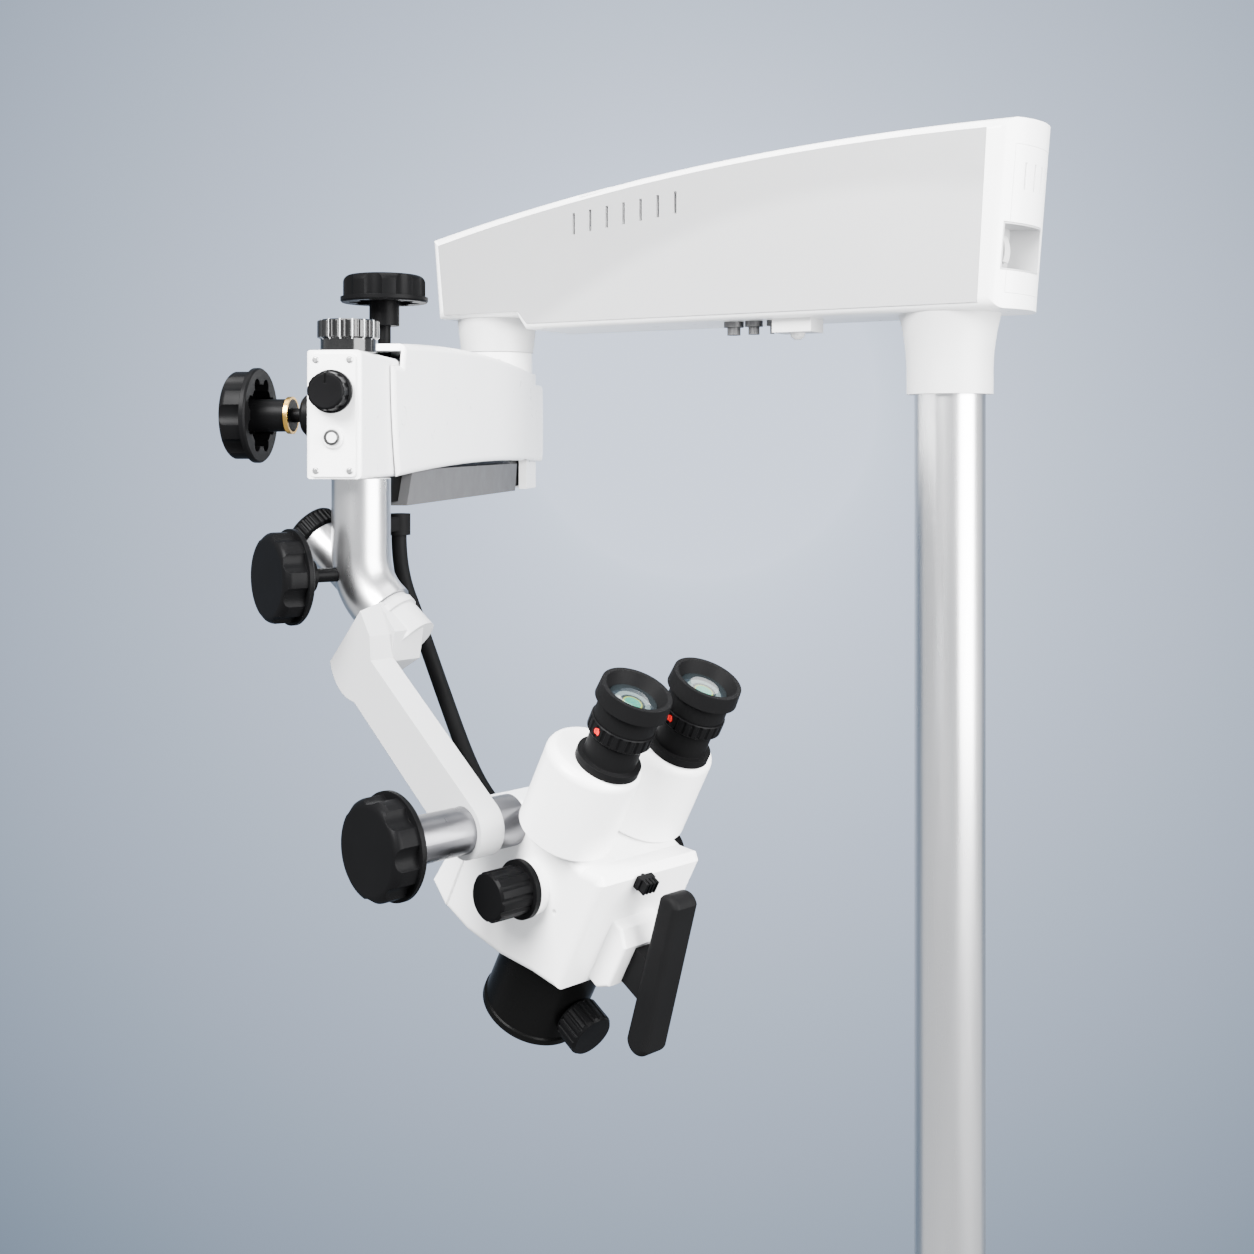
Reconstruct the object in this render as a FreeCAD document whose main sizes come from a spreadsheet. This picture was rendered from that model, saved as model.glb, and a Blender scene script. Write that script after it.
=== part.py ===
import FreeCAD, Part
import math
import os
import Sketcher

# Driving dimensions in millimetres, degrees or counts. Heights are above the column's foot.
SIZES = (
    ("column_radius", 30, "outer radius of the column tube"),
    ("column_wall", 3, "wall of the column tube"),
    ("column_top", 800, "upper end of the column tube"),
    ("spindle_radius", 20, "radius of the arm's spindle in the column bearing"),
    ("spindle_depth", 90, "length of spindle inside the column"),
    ("bearing_flange", 3, "thickness of the bearing's flange on the tube end"),
    ("run_gap", 0.05, "radial clearance of a turning fit"),
    ("face_gap", 0.3, "gap between faces that turn past each other"),
    ("arm_floor", 829, "underside of the main arm"),
    ("arm_step", 14, "how much higher the underside is at the free end"),
    ("step_start", 405, "distance from the column where the underside steps up"),
    ("arm_half_width", 48, "half the width of the main arm"),
    ("arm_reach", 468, "distance from the column axis to the second pivot"),
    ("arm_overhang", 47, "arm housing beyond the second pivot"),
    ("arm_end_height", 93, "height of the free end of the arm above the underside"),
    ("arm_mid_height", 139, "height of the arm half way along"),
    ("arm_root_height", 153, "height of the arm above the column"),
    ("arm_rear", 80, "arm housing behind the column axis"),
    ("arm_shell_wall", 3, "wall of the arm shells"),
    ("arm_edge_radius", 9, "rounding of the arm's long edges"),
    ("rear_radius", 64, "radius of the arm's rounded rear end"),
    ("rear_panel_half", 60, "half height of the inset rear panel"),
    ("rear_rake", 4.5, "lean of the rear end in degrees"),
    ("panel_inset", 7, "border round the inset side panel"),
    ("panel_depth", 1.4, "thickness of the inset panels"),
    ("fit_gap", 0.15, "gap round a panel in its recess"),
    ("slot_count", 7, "cooling slots in each side"),
    ("slot_fall", 1.9, "how much lower each cooling slot sits than the one before"),
    ("slot_pitch", 18, "spacing of the cooling slots"),
    ("slot_width", 2.6, "width of a cooling slot"),
    ("slot_height", 20, "height of a cooling slot"),
    ("slot_start", 238, "distance from the column to the first cooling slot"),
    ("slot_rise", 98, "height of the slots above the underside"),
    ("sleeve_drop", 68, "length of the column sleeve below the arm"),
    ("sleeve_radius", 36.3, "radius of the sleeve's lower band"),
    ("sleeve_flare", 43, "radius of the sleeve's top"),
    ("sleeve_band", 19, "height of the sleeve's straight band"),
    ("sleeve_gap", 0.6, "gap between sleeve and column"),
    ("beam_bottom", 852, "underside of the inner beam"),
    ("beam_height", 44, "height of the inner beam"),
    ("beam_half_width", 26, "half width of the inner beam"),
    ("hub_radius", 34, "radius of the beam's hubs"),
    ("neck_top_radius", 40, "radius of the neck cover at the arm"),
    ("neck_radius", 36.2, "radius of the neck cover at its groove"),
    ("neck_bottom", 810, "lower end of the neck cover"),
    ("collar_radius", 35, "radius of the turning collar under the neck"),
    ("collar_bottom", 790, "lower end of the turning collar"),
    ("heading", -66.8, "direction of the balance arm in degrees"),
    ("link_reach", 440, "distance between the pins of a link"),
    ("upper_pin", 768, "height of the upper link pins"),
    ("lower_pin", 704, "height of the lower link pins"),
    ("pin_radius", 4, "radius of the link pins"),
    ("link_end", 9, "end radius and half height of the upper link"),
    ("link_front_half", 10.5, "half width of the links at the front"),
    ("link_rear_half", 24, "half width of the links at the rear"),
    ("bracket_half", 33, "half width of the rear bracket"),
    ("bracket_cheek", 8, "thickness of the rear bracket's walls"),
    ("bracket_back", 34, "depth of the rear bracket behind the pivot"),
    ("bracket_front", 16, "depth of the rear bracket in front of the pivot"),
    ("bracket_foot", 674, "lower end of the rear bracket"),
    ("bracket_ceiling", 783, "underside of the rear bracket's top plate"),
    ("cover_front_half", 23.5, "half width of the arm covers at the front"),
    ("cover_rear_half", 40, "half width of the arm covers at the rear"),
    ("cover_wall", 3, "wall of the arm covers"),
    ("cover_ceiling", 786, "inner height of the arm covers"),
    ("cover_round", 12, "rounding of the covers' top edge"),
    ("tray_bottom", 674, "underside of the grey tray"),
    ("tray_rear", 62, "rear end of the grey tray"),
    ("tray_end", 25, "front end of the grey tray behind the front pins"),
    ("tray_top", 700, "upper edge of the grey tray"),
    ("chassis_bottom", 677, "underside of the lower link"),
    ("chassis_top", 713, "upper edge of the lower link"),
    ("block_offset", 23, "from the front pins to the rear of the solid block"),
    ("block_depth", 65, "depth of the solid block, rear to front"),
    ("block_half", 18.75, "half width of the front block"),
    ("block_foot", 8, "block below the lower pin"),
    ("block_head", 13, "block above the upper pin"),
    ("ear_reach", 12, "ears behind the front pins"),
    ("ear_inner_half", 11.5, "half the gap between the ears"),
    ("tube_from_pin", 50, "distance from the front pins to the drop tube's axis"),
    ("tube_side", 7.25, "offset of the drop tube from the arm's middle plane"),
    ("tube_radius", 20, "radius of the drop tube"),
    ("spigot_radius", 8, "radius of the drop tube's pivot in the block"),
    ("spigot_length", 60, "length of the drop tube's pivot"),
    ("elbow_drop", 72, "elbow's centre below the front block"),
    ("elbow_bend", 45, "bend radius of the elbow"),
    ("incline_heading", 5.7, "direction of the inclined axis in degrees"),
    ("incline_dip", 42, "dip of the inclined axis below level in degrees"),
    ("seam_reach", 26, "distance from elbow centre to the turning seam"),
    ("yoke_reach", 206.2, "distance from elbow centre to the tilt axis"),
    ("head_heading", -16, "direction the head faces in degrees"),
    ("head_tilt", 29, "lean of the optical axis in degrees"),
    ("hub_tip", 56, "distance from elbow centre to the hub's end cap"),
    ("hub_tube_radius", 17.6, "radius of the C-arm's hub"),
    ("carm_outer", 80, "outer side plane of the C-arm from the optical plane"),
    ("carm_thick", 18, "thickness of the C-arm"),
    ("carm_half", 10.5, "half the depth of the C-arm"),
    ("carm_collar", 18, "outer radius of the C-arm's lower collar"),
    ("shaft_radius", 14.3, "radius of the tilt shaft"),
    ("shaft_tip", 118, "outer end of the tilt shaft"),
    ("boss_radius", 16, "radius of the head's tilt boss"),
    ("head_half", 43, "half the width of the head"),
    ("knob_flange", 32, "radius of the lobed knobs' flange"),
    ("knob_flange_thick", 4, "thickness of the lobed knobs' flange"),
    ("knob_grip", 30, "radius of the lobed knobs' grip"),
    ("knob_height", 20, "height of a lobed knob above its back face"),
    ("knob_hub", 11, "radius of a lobed knob's hub"),
    ("knob_lobes", 8, "lobes round a lobed knob"),
    ("knob_stem", 4.75, "radius of a lobed knob's stem"),
    ("optic_offset", 39.5, "optical axis in front of the tilt axis"),
    ("barrel_offset", 34, "barrel axis in front of the tilt axis"),
    ("barrel_spread", 31, "barrel axis from the middle plane"),
    ("barrel_radius", 30, "radius of a barrel"),
    ("barrel_bottom", 17, "lower end of a barrel on the head's own axis"),
    ("barrel_top", 75, "upper end of a barrel"),
    ("eye_offset", 43, "eyepiece axis in front of the tilt axis"),
    ("eye_spread", 30, "eyepiece axis from the middle plane"),
    ("eye_tip", 128, "upper end of the eyecups"),
    ("cup_radius", 22.5, "outer radius of an eyecup"),
    ("objective_radius", 33, "radius of the objective housing"),
    ("objective_top", -84, "upper end of the objective housing"),
    ("objective_tip", -132, "lower end of the objective housing"),
    ("cable_radius", 5.5, "radius of the lamp cable"),
    ("dial_rise", 49.5, "brightness knob above the lower pin"),
    ("key_rise", 19.4, "key button above the lower pin"),
    ("ring_offset", 55.5, "knurled ring's axis in front of the front pins"),
    ("knob_rise", 7, "elbow's clamp knob above the elbow's centre"),
    ("side_knob_inset", 16, "block's side knob behind the block's front"),
    ("side_knob_rise", 34.3, "block's side knob above the lower pin"),
    ("side_knob_gap", 36.25, "from the block's side to its side knob's flange"),
    ("top_knob_inset", 32, "top knob behind the front pins"),
    ("top_knob_rise", 46, "top knob's flange above the upper link"),
    ("head_front", 84, "front face of the head from the tilt axis"),
)


class Size(float):
    """A number together with the sheet expression that gives it."""

    def __new__(cls, value, text):
        made = float.__new__(cls, value)
        made.text = text
        return made

    def __add__(self, other):
        return Size(float(self) + float(other), f"({self.text} + {text_of(other)})")

    def __radd__(self, other):
        return Size(float(other) + float(self), f"({text_of(other)} + {self.text})")

    def __sub__(self, other):
        return Size(float(self) - float(other), f"({self.text} - {text_of(other)})")

    def __rsub__(self, other):
        return Size(float(other) - float(self), f"({text_of(other)} - {self.text})")

    def __mul__(self, other):
        return Size(float(self) * float(other), f"({self.text} * {text_of(other)})")

    def __rmul__(self, other):
        return Size(float(other) * float(self), f"({text_of(other)} * {self.text})")

    def __truediv__(self, other):
        return Size(float(self) / float(other), f"({self.text} / {text_of(other)})")

    def __neg__(self):
        return Size(-float(self), f"(-{self.text})")


def text_of(value):
    """The expression text of a size, or the number itself."""
    if isinstance(value, Size):
        return value.text
    return repr(float(value))


class Sheet:
    """The document's table of sizes, read by name."""

    def __init__(self, doc):
        self.cells = doc.addObject("Spreadsheet::Sheet", "Sizes")
        for row, (name, value, meaning) in enumerate(SIZES, start=1):
            self.cells.set(f"A{row}", name)
            self.cells.set(f"B{row}", str(value))
            self.cells.set(f"C{row}", meaning)
            self.cells.setAlias(f"B{row}", name)
        doc.recompute()
        for name, value, meaning in SIZES:
            setattr(self, name, Size(self.cells.get(name), f"Sizes.{name}"))


class Via:
    """A point that an arc passes through on its way to the next corner."""

    def __init__(self, x, y):
        self.x = x
        self.y = y


doc = FreeCAD.newDocument("surgical_microscope")
S = Sheet(doc)
S.block_rear = S.link_reach + S.block_offset
S.block_front = S.block_rear + S.block_depth
S.block_bottom = S.lower_pin - S.block_foot
S.block_top = S.upper_pin + S.block_head
S.ear_rear = S.link_reach - S.ear_reach
S.elbow_height = S.block_bottom - S.elbow_drop
S.knob_level = S.elbow_height + S.knob_rise
S.ring_reach = S.link_reach + S.ring_offset
S.dial_height = S.lower_pin + S.dial_rise
S.key_height = S.lower_pin + S.key_rise
S.side_knob_height = S.lower_pin + S.side_knob_rise
S.plate_height = (S.block_bottom + S.block_top) / 2 - 0.5
S.tray_front = S.link_reach - S.tray_end
V = FreeCAD.Vector
Place = FreeCAD.Placement
NODES = []


def turn(axis, degrees):
    return Place(V(0, 0, 0), FreeCAD.Rotation(axis, float(degrees)))


def shift(x, y, z):
    return Place(V(float(x), float(y), float(z)), FreeCAD.Rotation())


X_AXIS = V(1, 0, 0)
Y_AXIS = V(0, 1, 0)
Z_AXIS = V(0, 0, 1)
UPRIGHT = turn(X_AXIS, 90)  # a sketch seen from the side, with its second axis pointing up

# Frames of the assembly, each in the one before it.
ROW = Place()
REAR = shift(S.arm_rear - S.rear_radius - 3, 0, S.arm_floor + S.arm_root_height / 2)
REAR = REAR * turn(Y_AXIS, S.rear_rake)
ARM = shift(-S.arm_reach, 0, 0) * turn(Z_AXIS, S.heading)
TUBE_AXIS = ARM * shift(S.link_reach + S.tube_from_pin, S.tube_side, 0)
ELBOW = shift(TUBE_AXIS.Base.x, TUBE_AXIS.Base.y, S.elbow_height)
ELBOW = ELBOW * turn(Z_AXIS, S.incline_heading)
INCLINE = ELBOW * turn(Y_AXIS, 90 + S.incline_dip)
TILT_POINT = (INCLINE * shift(0, 0, S.yoke_reach)).Base
YOKE = Place(TILT_POINT, FreeCAD.Rotation(Z_AXIS, float(S.head_heading)))
HEAD = YOKE * turn(Y_AXIS, S.head_tilt)


def body(name, place):
    made = doc.addObject("PartDesign::Body", name)
    made.Label = name
    made.Placement = place
    return made


def keep(made):
    """Counts an object as a finished sub-part."""
    NODES.append(made)
    return made


def sketch(owner, place):
    """An empty sketch at a place in its body's own frame."""
    made = owner.newObject("Sketcher::SketchObject", owner.Name + "_sketch")
    plane = [f for f in owner.Origin.OriginFeatures if f.Role == "XY_Plane"][0]
    made.AttachmentSupport = [(plane, "")]
    made.MapMode = "FlatFace"
    made.AttachmentOffset = place
    return made


def bind(drawing, kind, geo, end, value):
    """Holds one coordinate of a point at a size from the sheet."""
    index = drawing.addConstraint(Sketcher.Constraint(kind, -1, 1, geo, end, float(value)))
    if isinstance(value, Size):
        drawing.setExpression(f"Constraints[{index}]", value.text)


def arc_through(a, m, b):
    """An arc through three points drawn anticlockwise, and whether that swaps its ends."""
    centre = Part.Arc(a, m, b).toShape().Curve.Center
    angles = [math.atan2(p.y - centre.y, p.x - centre.x) for p in (a, m, b)]
    full = 2 * math.pi
    flipped = (angles[1] - angles[0]) % full > (angles[2] - angles[0]) % full
    first, last = (angles[2], angles[0]) if flipped else (angles[0], angles[2])
    if last < first:
        last += full
    return Part.ArcOfCircle(Part.Circle(centre, Z_AXIS, (a - centre).Length), first, last), flipped


def outline(drawing, corners):
    """Draws a closed outline of lines and arcs through corners, each held in place."""
    points = [c for c in corners if not isinstance(c, Via)]
    edges = []
    for i, corner in enumerate(corners):
        if isinstance(corner, Via):
            continue
        after = corners[(i + 1) % len(corners)]
        if isinstance(after, Via):
            edges.append((corner, after, corners[(i + 2) % len(corners)]))
        else:
            edges.append((corner, None, after))
    first = drawing.GeometryCount
    swapped = []
    for start, through, end in edges:
        a, b = V(start[0], start[1], 0), V(end[0], end[1], 0)
        if through is None:
            drawing.addGeometry(Part.LineSegment(a, b))
            swapped.append(False)
        else:
            curve, flipped = arc_through(a, V(through.x, through.y, 0), b)
            drawing.addGeometry(curve)
            swapped.append(flipped)
    for i in range(len(edges)):
        j = (i + 1) % len(edges)
        tail = 1 if swapped[i] else 2
        nose = 2 if swapped[j] else 1
        drawing.addConstraint(Sketcher.Constraint("Coincident", first + i, tail, first + j, nose))
    for i, point in enumerate(points):
        nose = 2 if swapped[i] else 1
        bind(drawing, "DistanceX", first + i, nose, point[0])
        bind(drawing, "DistanceY", first + i, nose, point[1])
    for i, (start, through, end) in enumerate(edges):
        if through is not None:
            mark = drawing.addGeometry(Part.Point(V(through.x, through.y, 0)), True)
            drawing.addConstraint(Sketcher.Constraint("PointOnObject", mark, 1, first + i))
            bind(drawing, "DistanceX", mark, 1, through.x)
            bind(drawing, "DistanceY", mark, 1, through.y)
    return drawing


def ring(drawing, x, y, *radii):
    """Draws circles about one centre."""
    for radius in radii:
        geo = drawing.addGeometry(Part.Circle(V(x, y, 0), Z_AXIS, float(radius)))
        bind(drawing, "DistanceX", geo, 3, x)
        bind(drawing, "DistanceY", geo, 3, y)
        index = drawing.addConstraint(Sketcher.Constraint("Radius", geo, float(radius)))
        if isinstance(radius, Size):
            drawing.setExpression(f"Constraints[{index}]", radius.text)
    return drawing


def solid(owner, kind, drawing, length=None, middle=False):
    """Pads or pockets a sketch; a pocket with no length goes through everything both ways."""
    made = owner.newObject("PartDesign::" + kind, owner.Name + "_" + kind.lower())
    made.Profile = drawing
    if length is None:
        made.Type = "ThroughAll"
        made.Midplane = True
    else:
        if isinstance(length, Size):
            made.setExpression("Length", length.text)
        else:
            made.Length = length
        made.Midplane = middle
    if kind == "Pocket":
        made.Reversed = length is not None and not middle
    drawing.Visibility = False
    return made


def pad(owner, drawing, length, middle=False):
    return solid(owner, "Pad", drawing, length, middle)


def pocket(owner, drawing, length=None, middle=False):
    """Removes material along the sketch's own normal."""
    return solid(owner, "Pocket", drawing, length, middle)


def revolve(owner, corners, kind="Revolution"):
    """Spins an outline of radius and height about the frame's upright axis."""
    drawing = outline(sketch(owner, UPRIGHT), corners)
    made = owner.newObject("PartDesign::" + kind, owner.Name + "_turned")
    made.Profile = drawing
    made.ReferenceAxis = (drawing, ["V_Axis"])
    made.Angle = 360
    drawing.Visibility = False
    return made


def turned(name, place, corners):
    made = body(name, place)
    revolve(made, corners)
    return made


def around(owner, feature, count):
    """Repeats a feature about the frame's upright axis."""
    made = owner.newObject("PartDesign::PolarPattern", owner.Name + "_round")
    made.Originals = [feature]
    axis = [f for f in owner.Origin.OriginFeatures if f.Role == "Z_Axis"][0]
    made.Axis = (axis, [""])
    made.Angle = 360
    if isinstance(count, Size):
        made.setExpression("Occurrences", count.text)
    else:
        made.Occurrences = count
    owner.Tip = made
    return made


def fillet(owner, radius, wanted):
    """Rounds the edges of the body's last feature that a test picks."""
    doc.recompute()
    base = owner.Tip
    names = []
    for i, edge in enumerate(base.Shape.Edges, start=1):
        if wanted(edge):
            names.append(f"Edge{i}")
    made = owner.newObject("PartDesign::Fillet", owner.Name + "_fillet")
    made.Base = (base, names)
    if isinstance(radius, Size):
        made.setExpression("Radius", radius.text)
    else:
        made.Radius = radius
    doc.recompute()
    return made


def middle_of(edge):
    return edge.valueAt((edge.FirstParameter + edge.LastParameter) / 2)


def group(name, members):
    """Several alike solids that share one name."""
    made = doc.addObject("Part::Compound", name)
    made.Label = name
    made.Links = members
    return keep(made)


def mirrored(name, source, normal=Y_AXIS, base=V(0, 0, 0)):
    made = doc.addObject("Part::Mirroring", name)
    made.Label = name
    made.Source = source
    made.Normal = normal
    made.Base = base
    return made


def cylinder(name, place, radius, height):
    made = doc.addObject("Part::Cylinder", name)
    made.Label = name
    for prop, value in (("Radius", radius), ("Height", height)):
        if isinstance(value, Size):
            made.setExpression(prop, value.text)
        else:
            setattr(made, prop, value)
    made.Placement = place
    return made


def column():
    """The post and the flanged bearing pressed into its top."""
    tube = body("column_tube", ROW)
    pad(tube, ring(sketch(tube, ROW), 0, 0, S.column_radius, S.column_radius - S.column_wall), S.column_top)
    keep(tube)
    bore = S.spindle_radius + S.run_gap
    inner = S.column_radius - S.column_wall
    keep(turned("column_bearing", shift(0, 0, S.column_top), [
        (bore, -S.spindle_depth), (inner, -S.spindle_depth), (inner, 0),
        (S.column_radius, 0), (S.column_radius, S.bearing_flange), (bore, S.bearing_flange)]))


def beam():
    """The inner beam: a spindle for the column, a bored hub for the second pivot."""
    made = body("arm_beam", ROW)
    seat = S.column_top + S.bearing_flange + S.face_gap
    top = S.beam_bottom + S.beam_height
    revolve(made, [
        (0, S.column_top - S.spindle_depth), (S.spindle_radius, S.column_top - S.spindle_depth),
        (S.spindle_radius, seat), (S.column_radius, seat), (S.hub_radius, S.beam_bottom),
        (S.hub_radius, top), (0, top)])
    flat = sketch(made, shift(0, 0, S.beam_bottom))
    outline(flat, [
        (0, -S.beam_half_width), (0, S.beam_half_width), (-S.arm_reach, S.beam_half_width),
        Via(-S.arm_reach - S.beam_half_width, 0), (-S.arm_reach, -S.beam_half_width)])
    pad(made, flat, S.beam_height)
    window = sketch(made, shift(0, 0, top))
    inner = S.beam_half_width - 8
    start, end = -S.hub_radius - 12, -S.arm_reach + S.hub_radius + 12
    outline(window, [(start, -inner), (start, inner), (end, inner), (end, -inner)])
    pocket(made, window, S.beam_height - 8)
    hole = ring(sketch(made, shift(0, 0, top)), -S.arm_reach, 0, S.spindle_radius + S.run_gap)
    pocket(made, hole)
    keep(made)


def arm_outline(inset, rear):
    """Side outline of the main arm, drawn smaller by an inset all round."""
    floor = S.arm_floor + inset
    far = -S.arm_reach - S.arm_overhang + inset
    raised = S.arm_floor + S.arm_step + inset
    return [
        (rear, floor), (-S.step_start + inset, floor), (-S.step_start - 10 + inset, raised),
        (far + 7, raised), (far, S.arm_floor + S.arm_end_height - inset),
        Via(-S.arm_reach / 2, S.arm_floor + S.arm_mid_height - inset),
        (rear, S.arm_floor + S.arm_root_height - inset)]


def rear_cut(made, radius, place=ROW):
    """Trims a body to the round rear end of the arm."""
    out = radius + 60
    trim = sketch(made, place)
    outline(trim, [
        (0, -radius), Via(radius * math.sin(math.pi / 4), -radius * math.sin(math.pi / 4)),
        (radius, 0), Via(radius * math.sin(math.pi / 4), radius * math.sin(math.pi / 4)),
        (0, radius), (0, out), (out, out), (out, -out), (0, -out)])
    return pocket(made, trim)


def inlet_window():
    """Corners of the power recess in the rear end, across and up."""
    left, right = -44, 6
    low, high = -42, -3
    return [(left, low), (right, low), (right, high), (left, high)]


def arm_shell(side):
    """One half of the arm's housing, cut along the middle plane."""
    name = "arm_shell_left" if side < 0 else "arm_shell_right"
    made = body(name, ROW)
    flat = outline(sketch(made, UPRIGHT), arm_outline(0, S.arm_rear + 20))
    solid_half = pad(made, flat, S.arm_half_width)
    if side > 0:
        solid_half.Reversed = True
    rear_cut(made, S.rear_radius, REAR)
    face = side * S.arm_half_width
    fillet(made, S.arm_edge_radius, lambda e: abs(middle_of(e).y - face) < 0.01)
    hollow = sketch(made, UPRIGHT)
    outline(hollow, arm_outline(S.arm_shell_wall, S.arm_rear - S.rear_radius + 36))
    cut = pocket(made, hollow, S.arm_half_width - S.arm_shell_wall)
    cut.Reversed = side < 0
    slots(made, side, S.arm_half_width)
    holes = sketch(made, shift(0, 0, S.arm_floor))
    ring(holes, 0, 0, S.hub_radius + 1)
    pocket(made, holes, 20, middle=True)
    socket = sketch(made, shift(0, 0, S.arm_floor + S.arm_step))
    ring(socket, -S.arm_reach, 0, S.neck_radius - 6)
    pocket(made, socket, 20, middle=True)
    recess = sketch(made, UPRIGHT)
    panel = outline(recess, panel_outline(S.fit_gap))
    recess.AttachmentOffset = UPRIGHT * shift(0, 0, -face)
    dent = pocket(made, panel, S.panel_depth)
    dent.Reversed = side > 0
    strip = sketch(made, REAR * shift(0, 0, -S.rear_panel_half - S.fit_gap))
    rear_sector(strip, S.rear_radius - S.panel_depth - 0.1 - S.fit_gap, S.rear_radius + 4, 38.2)
    pocket(made, strip, 2 * S.rear_panel_half + 2 * S.fit_gap)
    window = sketch(made, REAR * shift(S.rear_radius - 30, 0, 0) * turn(Y_AXIS, 90) * turn(Z_AXIS, 90))
    outline(window, inlet_window())
    opening = pocket(made, window, 60)
    opening.Reversed = True
    return keep(made)


def panel_outline(grow):
    """Outline of the inset side panel."""
    inset = S.panel_inset - grow
    low = S.arm_floor + 5 - grow
    far = -S.arm_reach - S.arm_overhang + inset + 2
    near = S.arm_rear - 34 + grow
    return [
        (near - 8, low), (-S.step_start + 4, low), (-S.step_start - 6, low + S.arm_step - 2),
        (far + 7, low + S.arm_step - 2), (far, S.arm_floor + S.arm_end_height - inset),
        Via(-S.arm_reach / 2, S.arm_floor + S.arm_mid_height - inset),
        (near, S.arm_floor + S.arm_root_height - inset)]


def slots(made, side, depth):
    """A row of upright cooling slots through a side wall."""
    cut = sketch(made, UPRIGHT * shift(0, 0, -side * depth))
    for i in range(int(S.slot_count)):
        left = -S.slot_start - S.slot_pitch * i
        right = left - S.slot_width
        low = S.arm_floor + S.slot_rise - S.slot_fall * i
        high = low + S.slot_height
        outline(cut, [(left, low), (right, low), (right, high), (left, high)])
    return pocket(made, cut, 2 * S.arm_shell_wall + 2, middle=True)


def side_panels():
    """The light grey panels let into both sides of the arm."""
    near = body("side_panel_near", shift(0, -S.arm_half_width + S.panel_depth, 0))
    plate = pad(near, outline(sketch(near, UPRIGHT), panel_outline(0)), S.panel_depth)
    plate.Reversed = False
    slots(near, 0, 0)
    far = mirrored("side_panel_far", near)
    return group("side_panels", [near, far])


def sleeve():
    """The flared sleeve round the column top, in two halves."""
    inner = S.column_radius + S.sleeve_gap
    low = S.arm_floor - S.sleeve_drop
    band = low + S.sleeve_band
    half = turned("sleeve_half", ROW, [
        (inner, low), (S.sleeve_radius, low), (S.sleeve_radius, band),
        Via(S.sleeve_radius + 1.4, band + 22), (S.sleeve_flare, S.arm_floor),
        (S.sleeve_flare - 3, S.arm_floor), (inner + 2.5, band), (inner, band)])
    away = sketch(half, UPRIGHT * shift(0, 0, -60))
    wide = S.sleeve_flare + 20
    outline(away, [(-wide, low - 5), (wide, low - 5), (wide, S.arm_floor + 5), (-wide, S.arm_floor + 5)])
    pocket(half, away, 60 - S.fit_gap / 4)
    return half


def neck():
    """The tapered cover of the second pivot."""
    low, high = S.neck_bottom, S.arm_floor + S.arm_step
    return keep(turned("neck_cover", shift(-S.arm_reach, 0, 0), [
        (S.spindle_radius + 2, low), (S.neck_radius, low), (S.neck_top_radius, high),
        (S.spindle_radius + 2, high)]))


def rear_sector(drawing, back, rim, half_angle):
    """Draws a bent strip that follows the rear end in plan."""
    across, along = math.sin(math.radians(half_angle)), math.cos(math.radians(half_angle))
    return outline(drawing, [
        (back * along, -back * across), (rim * along, -rim * across), Via(rim, 0),
        (rim * along, rim * across),
        (back * along, back * across), Via(back, 0)])


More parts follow.
